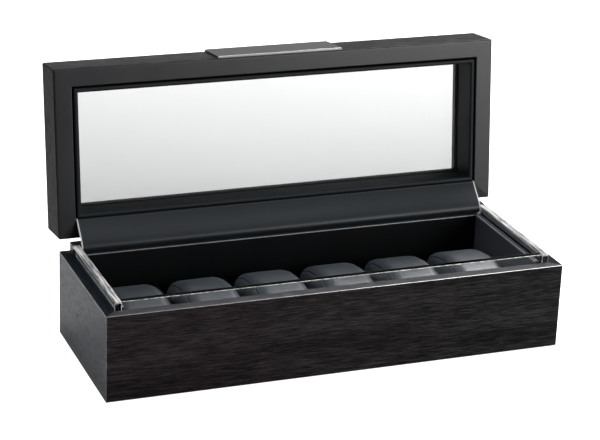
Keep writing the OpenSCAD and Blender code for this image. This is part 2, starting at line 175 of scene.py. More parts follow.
def pick(piece, kind, wanted):
    """Goes into edit mode and selects each edge or face for which wanted(middle, direction) holds.
    The direction is an edge's own or a face's normal."""
    bpy.ops.object.mode_set(mode="EDIT")
    bpy.ops.mesh.select_mode(type=kind)
    bpy.ops.mesh.select_all(action="DESELECT")
    shell = bmesh.from_edit_mesh(piece.data)
    if kind == "FACE":
        for face in shell.faces:
            face.select_set(wanted(face.calc_center_median(), face.normal))
    else:
        for edge in shell.edges:
            start, end = (vertex.co for vertex in edge.verts)
            edge.select_set(wanted((start + end) / 2, (end - start).normalized()))
    bmesh.update_edit_mesh(piece.data)


def paint(piece, slot, wanted):
    """Gives the faces for which wanted(middle, normal) holds the material in one of its slots."""
    pick(piece, "FACE", wanted)
    piece.active_material_index = slot
    bpy.ops.object.material_slot_assign()
    bpy.ops.object.mode_set(mode="OBJECT")


def slice_block(place, facing, drop=True):
    """Cuts the block being edited with a plane; with drop, what the plane faces is cut off."""
    bpy.ops.object.mode_set(mode="EDIT")
    bpy.ops.mesh.select_mode(type="FACE")
    bpy.ops.mesh.select_all(action="SELECT")
    bpy.ops.mesh.bisect(plane_co=place, plane_no=facing, use_fill=drop, clear_outer=drop)


def mitre_end(length, side):
    """Mitres one end of a board that lies along X with its outer face at y = 0."""
    slice_block((side * length / 2, 0, 0), (side, 1, 0))


def ease_corner(length, side, radius=edge_r):
    """Rounds the outer upright edge at one end of such a board, as far as its mitre."""
    for angle in (math.radians(45), math.radians(22.5)):
        facing = Vector((side * math.sin(angle), -math.cos(angle), 0))
        centre = Vector((side * (length / 2 - radius), radius, 0))
        slice_block(centre + facing * radius, facing)


def round_edges(piece, wanted, radius, segments=3):
    """Rounds the edges for which wanted(middle, direction) holds."""
    pick(piece, "EDGE", wanted)
    bpy.ops.mesh.bevel(offset=radius, segments=segments, affect="EDGES")
    bpy.ops.object.mode_set(mode="OBJECT")


def set_down(piece, turn, place):
    """Turns a board about Z and moves it, and puts the change in its mesh."""
    bpy.ops.object.mode_set(mode="OBJECT")
    piece.rotation_euler = (0, 0, math.radians(turn))
    piece.location = place
    bpy.ops.object.transform_apply(location=True, rotation=True, scale=True)


def is_near(value, target, reach=0.05 * MM):
    """Whether a value is its target, apart from rounding."""
    return abs(value - target) < reach


def ease_long_edges(board, foot, top, radius=edge_r, segments=3):
    """Rounds the long edges of a board's outer face, at its foot and its top."""
    round_edges(
        board,
        lambda middle, along: abs(along.z) < 0.1 and middle.y < radius
        and (is_near(middle.z, top) or is_near(middle.z, foot)),
        radius,
        segments,
    )


def case_wall(name, length, mitred_back):
    """A rebated wall along X with its outer face at y = 0. With mitred_back its far end meets
    the thinner back wall, so only the part outside the rebate is mitred there."""
    wall = add_block(name, (-length / 2, 0, case_foot), (length / 2, rim_w, case_rim))
    if mitred_back:
        mitre_end(length, mitred_back)
    slice_block((0, 0, strip_seat), (0, 0, 1), drop=False)
    pick(wall, "FACE", lambda middle, normal: normal.y > 0.9 and middle.z < strip_seat)
    bpy.ops.mesh.extrude_region_move(TRANSFORM_OT_translate={"value": (0, wall_t - rim_w, 0)})
    for side in (-1, 1):
        if side != mitred_back:
            mitre_end(length, side)
        ease_corner(length, side)
    ease_long_edges(wall, case_foot, case_rim)
    return wall


def math_node(tree, operation, first, second):
    """The result of a sum on two values or sockets."""
    return put(tree, "Math", {0: first, 1: second}, operation=operation).outputs[0]


def blend_colours(tree, factor, first, second):
    """Goes from the first colour to the second as factor goes from 0 to 1."""
    node = put(tree, "Mix", {"Factor": factor, 6: first, 7: second}, data_type="RGBA")
    return node.outputs[2]


def new_group(name, inputs, outputs):
    """Starts a shader node group. inputs gives each socket's label and default, None for a
    vector; outputs gives the labels of number sockets."""
    group = bpy.data.node_groups.new(name, "ShaderNodeTree")
    for label, value in inputs.items():
        kind = "Vector" if value is None else "Float"
        socket = group.interface.new_socket(label, in_out="INPUT", socket_type="NodeSocket" + kind)
        if value is not None:
            socket.default_value = value
    for label in outputs:
        group.interface.new_socket(label, in_out="OUTPUT", socket_type="NodeSocketFloat")
    return group, group.nodes.new("NodeGroupInput"), group.nodes.new("NodeGroupOutput")


def object_place(tree, turn=(0, 0, 0), scale=(1, 1, 1)):
    """Object coordinates, scaled and turned (in degrees)."""
    place = put(tree, "TexCoord").outputs["Object"]
    feeds = {"Vector": place, "Rotation": [math.radians(a) for a in turn], "Scale": scale}
    return put(tree, "Mapping", feeds).outputs["Vector"]


# Open-pored grain that runs along X: long light and dark streaks with short pores in them.
veneer_grain, grain_in, grain_out = new_group(
    "veneer grain", {"Vector": None}, ["Figure", "Pores", "Drift"]
)
grain_wander = 4 * MM
wander = put(
    veneer_grain, "TexNoise", {"Vector": grain_in.outputs["Vector"], "Scale": 11, "Detail": 2}
)
wander_step = put(
    veneer_grain, "VectorMath",
    {0: wander.outputs["Color"], 1: (0, grain_wander, grain_wander)},
    operation="MULTIPLY",
)
wavy = put(
    veneer_grain, "VectorMath", {0: grain_in.outputs["Vector"], 1: wander_step.outputs[0]},
    operation="ADD",
)


def streaks(stretch, detail, roughness):
    """Noise drawn out along X; stretch is its scale per metre along and across the grain."""
    along, across = stretch
    drawn = put(
        veneer_grain, "Mapping", {"Vector": wavy.outputs[0], "Scale": (along, across, across)}
    )
    feeds = {"Vector": drawn.outputs[0], "Scale": 1, "Detail": detail, "Roughness": roughness}
    return put(veneer_grain, "TexNoise", feeds).outputs[0]


long_streaks = streaks((58, 1350), 6, 0.74)
short_pores = streaks((130, 2600), 2, 0.5)
broad_bands = streaks((6, 110), 3, 0.5)
mixed = math_node(
    veneer_grain, "ADD", math_node(veneer_grain, "MULTIPLY", long_streaks, 0.8),
    math_node(veneer_grain, "MULTIPLY", broad_bands, 0.2),
)
figure = put(veneer_grain, "MapRange", {"Value": mixed, "From Min": 0.46, "From Max": 0.66})
pores = put(veneer_grain, "MapRange", {"Value": short_pores, "From Min": 0.57, "From Max": 0.66})
veneer_grain.links.new(figure.outputs[0], grain_out.inputs["Figure"])
veneer_grain.links.new(pores.outputs[0], grain_out.inputs["Pores"])
veneer_grain.links.new(broad_bands, grain_out.inputs["Drift"])


case_stain = ((0.001, 0.0007, 0.0008, 1), (0.022, 0.0155, 0.0165, 1), (0.0245, 0.0235, 0.0235, 1))
pore_fill = (0.002, 0.0017, 0.0017, 1)
grey_from, grey_to = -100 * MM, 140 * MM


def veneer(name, turn, shine, dark, light, grey=None, span=(0.0, 1.0), scale=(1, 1, 1)):
    """Stained veneer under a thin satin lacquer. Turn brings the grain to run along X, where its
    light streaks may drift to grey, and a narrower span of the figure gives more contrast."""
    material, tree, shader = new_material(name, Specular_IOR_Level=shine)
    place = object_place(tree, turn, scale=scale)
    grain = put(tree, "Group", {"Vector": place}, node_tree=veneer_grain)
    along = put(tree, "SeparateXYZ", {"Vector": place}).outputs["X"]
    along_feeds = {"Value": along, "From Min": grey_from, "From Max": grey_to}
    along_share = put(tree, "MapRange", along_feeds)
    patchy = math_node(tree, "SUBTRACT", grain.outputs["Drift"], 0.5)
    drift = math_node(tree, "ADD", along_share.outputs[0], patchy)
    streak_colour = blend_colours(tree, drift, light, grey or light)
    contrast_feeds = {"Value": grain.outputs["Figure"], "From Min": span[0], "From Max": span[1]}
    contrast = put(tree, "MapRange", contrast_feeds).outputs[0]
    stained = blend_colours(tree, contrast, dark, streak_colour)
    filled = blend_colours(tree, grain.outputs["Pores"], stained, pore_fill)
    tree.links.new(filled, shader.inputs["Base Color"])
    satin = put(tree, "MapRange", {"Value": grain.outputs["Pores"], "To Min": 0.36, "To Max": 0.6})
    tree.links.new(satin.outputs[0], shader.inputs["Roughness"])
    ridges = math_node(tree, "MULTIPLY", grain.outputs["Figure"], 0.45)
    relief = math_node(tree, "SUBTRACT", ridges, grain.outputs["Pores"])
    bump = put(tree, "Bump", {"Height": relief, "Strength": 0.5, "Distance": 0.12 * MM})
    tree.links.new(bump.outputs[0], shader.inputs["Normal"])
    return material


def varnish(name, dark, light, low, high, **values):
    """Clear varnish over the grain of an edge or a rim, between two levels of roughness."""
    material, tree, shader = new_material(name, **values)
    grain = put(tree, "Group", {"Vector": object_place(tree)}, node_tree=veneer_grain)
    tone = blend_colours(tree, grain.outputs["Figure"], dark, light)
    level = put(tree, "MapRange", {"Value": grain.outputs["Pores"], "To Min": low, "To Max": high})
    tree.links.new(tone, shader.inputs["Base Color"])
    tree.links.new(level.outputs[0], shader.inputs["Roughness"])
    return material


def fit(piece, body, node, slot, *materials, smooth=32):
    """Gives a finished piece its materials and its body, evens its shading, and hides the plain
    node that it stands for.
    """
    bpy.ops.object.mode_set(mode="OBJECT")
    for material in materials:
        piece.data.materials.append(material)
    bpy.ops.object.shade_smooth_by_angle(angle=math.radians(smooth))
    flatten = piece.modifiers.new("flat faces", "WEIGHTED_NORMAL")
    flatten.keep_sharp = True
    bpy.ops.object.modifier_apply(modifier="flat faces")
    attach(piece, body)
    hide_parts(node)


front_veneer = veneer("front veneer", (0, 0, 0), 0.055, *case_stain)
# The side walls' veneer is a lighter, bluer copy of the front's, partly painted sheen for the
# bluish reflection along the lit left side.
side_veneer = veneer(
    "side veneer", (0, 0, 90), 0.34, (0.0025, 0.003, 0.004, 1), (0.038, 0.042, 0.054, 1)
)
side_shader = side_veneer.node_tree.nodes["Principled BSDF"]
side_shader.inputs["Specular Tint"].default_value = (0.8, 0.88, 1, 1)
side_rim_veneer = veneer(
    "side rim veneer", (0, 0, 90), 0.05, (0.001, 0.0016, 0.0024, 1), (0.01, 0.015, 0.021, 1)
)
rebate_stain = veneer(
    "stained rebate", (0, 0, 0), 0.02, (0.0006, 0.0006, 0.0006, 1), (0.003, 0.003, 0.003, 1)
)
# The eased edges are painted far lighter than the veneer: a painted highlight along the outer
# edges, over a real clear coat.
edge_varnish_highlight = varnish(
    "varnished edge highlight", (0.09, 0.088, 0.086, 1), (0.2, 0.195, 0.19, 1), 0.2, 0.4,
    Specular_IOR_Level=1.0, Coat_Weight=0.6, Coat_Roughness=0.12,
)
rim_varnish = varnish(
    "varnished rim", (0.012, 0.0118, 0.014, 1), (0.04, 0.038, 0.043, 1), 0.3, 0.5,
    Specular_IOR_Level=0.5,
)


def skin_wall(wall, skin, top_skin):
    """Veneers a wall, varnishes its eased edges in a lighter colour as a painted highlight,
    finishes its top and stains its rebate black.
    """
    for material in (skin, edge_varnish_highlight, top_skin, rebate_stain):
        wall.data.materials.append(material)
    paint(wall, 1, lambda middle, normal: middle.y < edge_r and -0.99 < normal.y < -0.05)
    paint(wall, 2, lambda middle, normal: normal.z > 0.99 and is_near(middle.z, case_rim))
    paint(wall, 3, lambda middle, normal: (normal.y > 0.9 or normal.z > 0.9) and (
        strip_seat - MM < middle.z < case_rim - MM and middle.y < wall_t - MM))


front_skin = (front_veneer, rim_varnish)
side_skin = (side_veneer, side_rim_veneer)
for part, length, mitred_back, turn, place, skins in (
    ("front", case_w, 0, 0, (0, front_low[1], 0), front_skin),
    ("left", case_d, -1, -90, (-case_w / 2, 0, 0), side_skin),
    ("right", case_d, 1, 90, (case_w / 2, 0, 0), side_skin),
):
    wall = case_wall(f"case_{part}_wall", length, mitred_back)
    skin_wall(wall, *skins)
    set_down(wall, turn, place)
    fit(wall, "case", f"base_{part}_panel", "veneer")

back_wall = add_block(
    "case_back_wall", (-case_w / 2, 0, case_foot), (case_w / 2, back_wall_t, case_rim)
)
for side in (-1, 1):
    mitre_end(case_w, side)
    ease_corner(case_w, side)
ease_long_edges(back_wall, case_foot, case_rim)
skin_wall(back_wall, *front_skin)
set_down(back_wall, 180, (0, back_high[1], 0))
fit(back_wall, "case", "base_back_panel", "veneer")

# ---- Bottom board and felt ----
# The bottom board is plain black fibreboard between the walls. A sheet of felt is glued under
# the case, a little inside its edges.


def dress(node, material):
    """Gives a node of the frame a better material."""
    for slot in frame["nodes"][node].material_slots:
        slot.material = material


board, board_tree, board_shader = new_material("black fibreboard", Roughness=0.75)
board_specks = put(
    board_tree, "TexNoise", {"Vector": object_place(board_tree), "Scale": 900, "Detail": 6}
).outputs[0]
board_colour = blend_colours(
    board_tree, board_specks, (0.006, 0.006, 0.006, 1), (0.02, 0.019, 0.018, 1)
)
board_tree.links.new(board_colour, board_shader.inputs["Base Color"])
dress("base_floor_panel", board)

felt, felt_tree, felt_shader = new_material("black felt", Roughness=0.95, Sheen_Weight=0.4)
felt_place = object_place(felt_tree)
felt_tufts = put(
    felt_tree, "TexNoise", {"Vector": felt_place, "Scale": 420, "Detail": 8, "Roughness": 0.7}
)
felt_fibres = put(felt_tree, "TexNoise", {"Vector": felt_place, "Scale": 3500, "Detail": 3})
felt_colour = blend_colours(
    felt_tree, felt_tufts.outputs[0], (0.004, 0.0045, 0.005, 1), (0.016, 0.017, 0.018, 1)
)
felt_pile = math_node(felt_tree, "ADD", felt_tufts.outputs[0], felt_fibres.outputs[0])
felt_bump = put(felt_tree, "Bump", {"Height": felt_pile, "Strength": 0.6, "Distance": 0.3 * MM})
felt_tree.links.new(felt_colour, felt_shader.inputs["Base Color"])
felt_tree.links.new(felt_bump.outputs[0], felt_shader.inputs["Normal"])
dress("base_felt", felt)

# ---- Clear strips ----
# Three strips of clear acrylic, sawn from sheet and polished, stand in the rebate of the rim, the
# front one between the two at the sides. Its broken top edges are matt, and so are the ends of the
# side strips and a band along their top.
acrylic, acrylic_tree, acrylic_shader = new_material(
    "clear acrylic", Base_Color=(0.97, 0.98, 0.985, 1), Transmission_Weight=1.0, IOR=1.34,
    Specular_Tint=(0.35, 0.35, 0.36, 1)
)
acrylic_haze = put(
    acrylic_tree, "TexNoise",
    {"Vector": object_place(acrylic_tree, scale=(1, 6, 6)), "Scale": 60, "Detail": 4},
).outputs[0]
acrylic_polish = put(
    acrylic_tree, "MapRange",
    {"Value": acrylic_haze, "From Min": 0.35, "From Max": 0.7, "To Min": 0.01, "To Max": 0.06},
)
acrylic_tree.links.new(acrylic_polish.outputs[0], acrylic_shader.inputs["Roughness"])


def let_light_in(tree, shader, share):
    """Lets a share of the light from the lamps straight through a clear sheet."""
    path = put(tree, "LightPath")
    feeds = {"Value": path.outputs["Is Shadow Ray"], "To Min": 1.0, "To Max": 1 - share}
    tree.links.new(put(tree, "MapRange", feeds).outputs[0], shader.inputs["Alpha"])


let_light_in(acrylic_tree, acrylic_shader, 0.85)
sawn, sawn_tree, sawn_shader = new_material("matt acrylic edge", Transmission_Weight=0.3, IOR=1.49)
sawn_marks = put(
    sawn_tree, "TexNoise",
    {"Vector": object_place(sawn_tree, scale=(620, 40, 620)),
     "Scale": 1, "Detail": 5, "Roughness": 0.7},
).outputs[0]
sawn_bands = put(
    sawn_tree, "MapRange", {"Value": sawn_marks, "From Min": 0.42, "From Max": 0.6}
).outputs[0]
sawn_colour = blend_colours(sawn_tree, sawn_bands, (0.04, 0.04, 0.041, 1), (0.52, 0.515, 0.505, 1))
sawn_level = put(sawn_tree, "MapRange", {"Value": sawn_marks, "To Min": 0.25, "To Max": 0.5})
sawn_tree.links.new(sawn_colour, sawn_shader.inputs["Base Color"])
sawn_tree.links.new(sawn_level.outputs[0], sawn_shader.inputs["Roughness"])
strip_edge_r = 0.35 * MM
frosted_h = 1.4 * MM
for node in ("clear_front_strip", "clear_left_strip", "clear_right_strip"):
    low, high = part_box(node)
    strip = add_block(node.replace("clear", "acrylic"), low, high)
    round_edges(strip, lambda middle, along: True, strip_edge_r, 2)
    strip.data.materials.append(acrylic)
    strip.data.materials.append(sawn)
    if node == "clear_front_strip":
        paint(strip, 1, lambda middle, normal: normal.z > 0.2 and 0.2 < abs(normal.y) < 0.98)
    else:
        frost = high[2] - frosted_h
        slice_block((0, 0, frost), (0, 0, 1), drop=False)
        paint(strip, 1, lambda middle, normal: middle.z > frost or normal.y > 0.9 or (
            0.2 < abs(normal.x) < 0.98 and min(middle.y - low[1], high[1] - middle.y) < MM))
    fit(strip, "case", node, "clear_acrylic")

# ---- Rear hinge rail ----
# A hardwood rail on the back wall, as high as the clear strips and lacquered satin black. The
# hinges are let into its top.
smudges, smudges_in, smudges_out = new_group(
    "handling marks", {"Vector": None, "Low": 0.3, "High": 0.4}, ["Roughness"]
)
smudge_cloud = put(
    smudges, "TexNoise", {"Vector": smudges_in.outputs["Vector"], "Scale": 38, "Detail": 5}
)
smudge_level = put(
    smudges, "MapRange",
    {"Value": smudge_cloud.outputs[0], "From Min": 0.3, "From Max": 0.7,
     "To Min": smudges_in.outputs["Low"], "To Max": smudges_in.outputs["High"]},
)
smudges.links.new(smudge_level.outputs[0], smudges_out.inputs["Roughness"])


def smudge(tree, shader, low, high):
    """Varies a finish's roughness between two levels with handling marks."""
    feeds = {"Vector": object_place(tree), "Low": low, "High": high}
    marks = put(tree, "Group", feeds, node_tree=smudges)
    tree.links.new(marks.outputs["Roughness"], shader.inputs["Roughness"])


def lacquer(name, colour, low, high, shine=0.5):
    """Satin lacquer with handling marks and the faint ripple of a sprayed coat."""
    material, tree, shader = new_material(name, Specular_IOR_Level=shine)
    smudge(tree, shader, low, high)
    ripple_feeds = {"Vector": object_place(tree), "Scale": 700, "Detail": 2}
    ripple = put(tree, "TexNoise", ripple_feeds).outputs[0]
    mottle = blend_colours(tree, ripple, colour, tuple(1.5 * c for c in colour[:3]) + (1,))
    tree.links.new(mottle, shader.inputs["Base Color"])
    bump = put(tree, "Bump", {"Height": ripple, "Strength": 0.12, "Distance": 0.05 * MM})
    tree.links.new(bump.outputs[0], shader.inputs["Normal"])
    return material


black_lacquer = lacquer("satin black lacquer", (0.0045, 0.0045, 0.005, 1), 0.34, 0.42)
dress("rear_hinge_rail", black_lacquer)

# ---- Linings ----
# Boards covered in thin dark leather over a little padding and glued inside the walls. Their top
# edges are rolled, with the leather turned over them, and the upper faces of the rolls are painted
# lighter as a painted highlight. The front board is lower than the others.
leather_grain, hide_in, hide_out = new_group(
    "leather grain", {"Vector": None, "Pebbles": 900.0}, ["Height", "Mottle"]
)
pebbles = put(
    leather_grain, "TexVoronoi",
    {"Vector": hide_in.outputs["Vector"], "Scale": hide_in.outputs["Pebbles"], "Smoothness": 0.6},
    feature="SMOOTH_F1",
)
creases = put(
    leather_grain, "TexNoise", {"Vector": hide_in.outputs["Vector"], "Scale": 260, "Detail": 6}
)
tone = put(
    leather_grain, "TexNoise", {"Vector": hide_in.outputs["Vector"], "Scale": 34, "Detail": 4}
)
hide_height = math_node(
    leather_grain, "SUBTRACT", creases.outputs[0],
    math_node(leather_grain, "MULTIPLY", pebbles.outputs["Distance"], 0.8),
)
leather_grain.links.new(hide_height, hide_out.inputs["Height"])
leather_grain.links.new(tone.outputs[0], hide_out.inputs["Mottle"])


def leather(name, dark, light, roughness, shine=0.5, pebble_scale=900.0, strength=0.35):
    """Thin finished leather: a pebbled surface, a slow change of tone and a soft sheen."""
    material, tree, shader = new_material(name, Specular_IOR_Level=shine)
    hide_feeds = {"Vector": object_place(tree), "Pebbles": pebble_scale}
    hide = put(tree, "Group", hide_feeds, node_tree=leather_grain)
    dye = blend_colours(tree, hide.outputs["Mottle"], dark + (1,), light + (1,))
    tree.links.new(dye, shader.inputs["Base Color"])
    polish = put(
        tree, "MapRange",
        {"Value": hide.outputs["Mottle"], "To Min": roughness - 0.06, "To Max": roughness + 0.08},
    )
    tree.links.new(polish.outputs[0], shader.inputs["Roughness"])
    bump_feeds = {"Height": hide.outputs["Height"], "Strength": strength, "Distance": 0.1 * MM}
    bump = put(tree, "Bump", bump_feeds)
    tree.links.new(bump.outputs[0], shader.inputs["Normal"])
    return material


def covered_board(name, node, roll, face_leather, roll_leather_and_highlight, drop=0.0):
    """A leather-covered board in the place of a node, with its upper edges rolled and the
    upward-facing faces of the roll in a second leather, painted lighter on the linings as a painted
    highlight; drop is how far it stays below the top of the node."""
    low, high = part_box(node)
    top = high[2] - drop
    covered = add_block(name, low, (high[0], high[1], top))
    round_edges(
        covered, lambda middle, along: abs(along.z) < 0.1 and is_near(middle.z, top), roll, 4
    )
    covered.data.materials.append(face_leather)
    covered.data.materials.append(roll_leather_and_highlight)
    paint(covered, 1, lambda middle, normal: 0.15 < normal.z < 0.99)
    fit(covered, "case", node, "leather")


lining_roll = 0.9 * MM
front_drop = 2.6 * MM
# Painted shade: the front, back, floor and divider leather is a much darker copy of the side lining
# leather, for the shade under the hinge cover and deep in the box.
shaded_lining_leather = leather(
    "lining leather", (0.001, 0.0012, 0.0014), (0.002, 0.0024, 0.0028), 0.5, 0.04
)
side_leather = leather(
    "side lining leather", (0.012, 0.014, 0.0175), (0.023, 0.0265, 0.033), 0.45, 0.3
)
# The rolled edges are painted much lighter than the boards: a painted highlight where the rolls
# face the light from above.
back_roll_highlight = leather("rolled back edge highlight", (0.03, 0.033, 0.037), (0.06, 0.066, 0.072), 0.35, 0.5)
side_roll_highlight = leather("rolled side edge highlight", (0.09, 0.095, 0.102), (0.17, 0.18, 0.19), 0.35, 0.5)
covered_board("padded_front", "lining_front", lining_roll, shaded_lining_leather, back_roll_highlight, front_drop)
covered_board("padded_back", "lining_back", lining_roll, shaded_lining_leather, back_roll_highlight)
covered_board("padded_left", "lining_left", lining_roll, side_leather, side_roll_highlight)
covered_board("padded_right", "lining_right", lining_roll, side_leather, side_roll_highlight)
dress("lining_floor", shaded_lining_leather)

# ---- Dividers ----
# Five thin boards covered in the same leather stand on the padded bottom, between the cushions and
# well below the rim.
divider_roll = 0.6 * MM
for number in range(1, 6):
    covered_board(
        f"partition_{number}", f"divider_{number}", divider_roll, shaded_lining_leather, shaded_lining_leather
    )

# ---- Hinges ----
# Two plated steel hinges with stops. Their leaves are let into the rails and held by countersunk
# screws, and the screws of the lift plate are plated alike.
plated, plated_tree, plated_shader = new_material("plated steel", Metallic=1.0)
smudge(plated_tree, plated_shader, 0.22, 0.38)
plated_specks = put(
    plated_tree, "TexNoise", {"Vector": object_place(plated_tree), "Scale": 500, "Detail": 5}
).outputs[0]
plated_colour = blend_colours(
    plated_tree, plated_specks, (0.34, 0.34, 0.35, 1), (0.6, 0.6, 0.61, 1)
)
plated_tree.links.new(plated_colour, plated_shader.inputs["Base Color"])
plated_nodes = ["base_hinge_screws", "lid_hinge_screws", "lift_plate_screws"]
for side in ("left", "right"):
    plated_nodes += [f"base_hinge_leaf_{side}", f"lid_hinge_leaf_{side}", f"hinge_pin_{side}"]
for node in plated_nodes:
    dress(node, plated)

# ---- Hinge cover ----
# One strip of thin leather that hides the hinges from inside. It comes up behind the back
# lining, bows forward over it, and goes back and up into the groove beside the lid's back rail.
hinge = next(joint for joint in frame["joints"] if joint["name"] == "lid_hinge")
axis_y, axis_z = hinge["pos_m"][1:]
open_angle = math.radians(-hinge["range_deg"][0])
rail_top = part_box("rear_hinge_rail")[1][2]
lid_gap = 0.2 * MM
lid_bottom = rail_top + lid_gap
rail_w = 13.2 * MM
groove_w = 1.0 * MM
cover_t = 0.8 * MM
cover_slot = 1.0 * MM
cover_tuck = 8.0 * MM
cover_bow = 10.4 * MM
cover_end_gap = 0.4 * MM
cover_w = 2 * (case_w / 2 - rail_w) - cover_end_gap
cover_columns, cover_rows = 96, 44
cover_slack = 0.5 * MM
cut_edge_w = 0.9 * MM
curve_steps = 200


def opened(y, z):
    """Where a point of the shut lid is when the lid stands open."""
    back, up = y - axis_y, z - axis_z
    turned_y = back * math.cos(open_angle) + up * math.sin(open_angle)
    turned_z = up * math.cos(open_angle) - back * math.sin(open_angle)
    return Vector((axis_y + turned_y, axis_z + turned_z))


cover_y = back_low[1] - cover_slot / 2
groove_y = case_d / 2 - rail_w - groove_w / 2
cover_foot = Vector((cover_y, case_rim - cover_tuck))
cover_start = Vector((cover_y, case_rim + 0.3 * MM))
bow_points = [
    cover_start,
    Vector((cover_y - cover_bow, rail_top - 0.8 * MM)),
    Vector((cover_y + cover_t, rail_top + 3.6 * MM)),
    opened(groove_y, lid_bottom),
]
cover_head = opened(groove_y, lid_bottom + cover_tuck)


def bow(t):
    """A point of the curve between the two tucked ends, for t from 0 to 1."""
    a, b, c, d = bow_points
    return (1 - t) ** 3 * a + 3 * t * (1 - t) ** 2 * b + 3 * t * t * (1 - t) * c + t ** 3 * d


curve = [bow(step / curve_steps) for step in range(curve_steps + 1)]
fine_line = [cover_foot] + curve + [cover_head]
fine_reach = [0.0]
for before, after in zip(fine_line, fine_line[1:]):
    fine_reach.append(fine_reach[-1] + (after - before).length)
cover_l = fine_reach[-1]


def along_cover(reach):
    """The point of the strip's line that lies at a distance from its foot, and the normal there."""
    place = max(1, next(i for i, r in enumerate(fine_reach) if r >= reach - 1e-9))
    before, after = fine_line[place - 1], fine_line[place]
    share = (reach - fine_reach[place - 1]) / (fine_reach[place] - fine_reach[place - 1])
    step = (after - before).normalized()
    return before.lerp(after, share), Vector((-step.y, step.x))


bpy.ops.object.select_all(action="DESELECT")
bpy.ops.mesh.primitive_grid_add(x_subdivisions=cover_columns, y_subdivisions=cover_rows, size=1)
cover = bpy.context.object
cover.name = "leather_hinge_cover"
free_start, free_end = cover_tuck, cover_l - cover_tuck
for vertex in cover.data.vertices:
    x = vertex.co.x * cover_w
    if cut_edge_w < cover_w / 2 - abs(x) < 1.5 * cover_w / cover_columns:
        x = math.copysign(cover_w / 2 - cut_edge_w, x)
    reach = (vertex.co.y + 0.5) * cover_l
    line_point, line_normal = along_cover(reach)
    loose = max(0.0, min(1.0, (reach - free_start) / (free_end - free_start)))
    slack = cover_slack * math.sin(math.pi * loose) * noise.noise((9 * x, 2.0, 40 * reach))
    bowed = line_point + line_normal * slack
    vertex.co = (x, bowed.x, bowed.y)
thicken = cover.modifiers.new("thickness", "SOLIDIFY")
thicken.thickness = cover_t
thicken.offset = 0
bpy.ops.object.modifier_apply(modifier="thickness")
bpy.ops.object.mode_set(mode="EDIT")
bpy.ops.mesh.select_all(action="SELECT")
bpy.ops.mesh.normals_make_consistent(inside=False)
bpy.ops.object.mode_set(mode="OBJECT")
cover_leather = leather(
    "cover leather", (0.003, 0.0045, 0.0057), (0.0054, 0.0078, 0.0096), 0.42, 0.14, 1100.0, 0.3
)
cut_leather = leather("cut leather edge", (0.16, 0.165, 0.17), (0.3, 0.31, 0.32), 0.5, 0.5)
cover.data.materials.append(cover_leather)
cover.data.materials.append(cut_leather)
paint(cover, 1, lambda middle, normal: abs(middle.x) > cover_w / 2 - cut_edge_w)
bpy.ops.object.shade_smooth_by_angle(angle=math.radians(50))
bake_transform(cover)
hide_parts("hinge_cover")

# ---- Lid rails ----
# Four mitred rails. A lip along their top holds the glass. They are veneered outside and along
# the top, and lacquered satin black on the rim and inside.
lid_h = 32.4 * MM
lid_edge_r = 1.4 * MM
lip_w = 4.3 * MM
lip_t = 4.4 * MM
lid_top = lid_bottom + lid_h
lid_turn = math.degrees(open_angle)


def open_up():
    """Turns the selected piece of the shut lid about the hinge axis, into the open position."""
    bpy.ops.object.mode_set(mode="EDIT")
    bpy.ops.mesh.select_all(action="SELECT")
    bpy.ops.transform.rotate(value=open_angle, orient_axis="X", center_override=(0, axis_y, axis_z))
    bpy.ops.object.mode_set(mode="OBJECT")


def lid_rail(name, length):
    """A rail of the shut lid along X with its outer face at y = 0."""
    rail = add_block(name, (-length / 2, 0, lid_bottom), (length / 2, rail_w, lid_top))
    slice_block((0, 0, lid_top - lip_t), (0, 0, 1), drop=False)
    pick(rail, "FACE", lambda middle, normal: normal.y > 0.9 and middle.z > lid_top - lip_t)
    bpy.ops.mesh.extrude_region_move(TRANSFORM_OT_translate={"value": (0, lip_w, 0)})
    for side in (-1, 1):
        mitre_end(length, side)
        ease_corner(length, side, lid_edge_r)
    ease_long_edges(rail, lid_bottom, lid_top, lid_edge_r, 4)
    round_edges(
        rail,
        lambda middle, along: abs(along.x) > 0.9 and is_near(middle.z, lid_bottom)
        and is_near(middle.y, rail_w),
        edge_r,
    )
    return rail


lid_front_veneer = veneer(
    "lid front veneer", (lid_turn, 0, 0), 0.06,
    (0.001, 0.0008, 0.0008, 1), (0.03, 0.0265, 0.0275, 1), (0.031, 0.03, 0.03, 1),
    span=(0.14, 0.74), scale=(0.9, 0.6, 0.6),
)
# Painted shade: the lid's side rails get a much darker copy of the lid veneer, for the shade on the
# sides of the open lid.
shaded_lid_side_veneer = veneer(
    "lid side veneer", (lid_turn, 0, 90), 0.02,
    (0.0006, 0.0006, 0.0006, 1), (0.008, 0.0078, 0.008, 1), span=(0.1, 0.6),
)
rim_lacquer = lacquer("lid rim lacquer", (0.0024, 0.0023, 0.0033, 1), 0.3, 0.36, 0.22)
for part, length, turn, place, skin in (
    ("front", case_w, 0, (0, -case_d / 2, 0), lid_front_veneer),
    ("left", case_d, -90, (-case_w / 2, 0, 0), shaded_lid_side_veneer),
    ("right", case_d, 90, (case_w / 2, 0, 0), shaded_lid_side_veneer),
):
    rail = lid_rail(f"lid_rail_{part}", length)
    rail.data.materials.append(skin)
    rail.data.materials.append(rim_lacquer)
    paint(rail, 1, lambda middle, normal: middle.y > lid_edge_r / 3 and (
        normal.z < -0.7 or (normal.y > 0.3 and abs(normal.x) < 0.5)))
    set_down(rail, turn, place)
    open_up()
    fit(rail, "lid", f"lid_{part}_rail", "veneer")

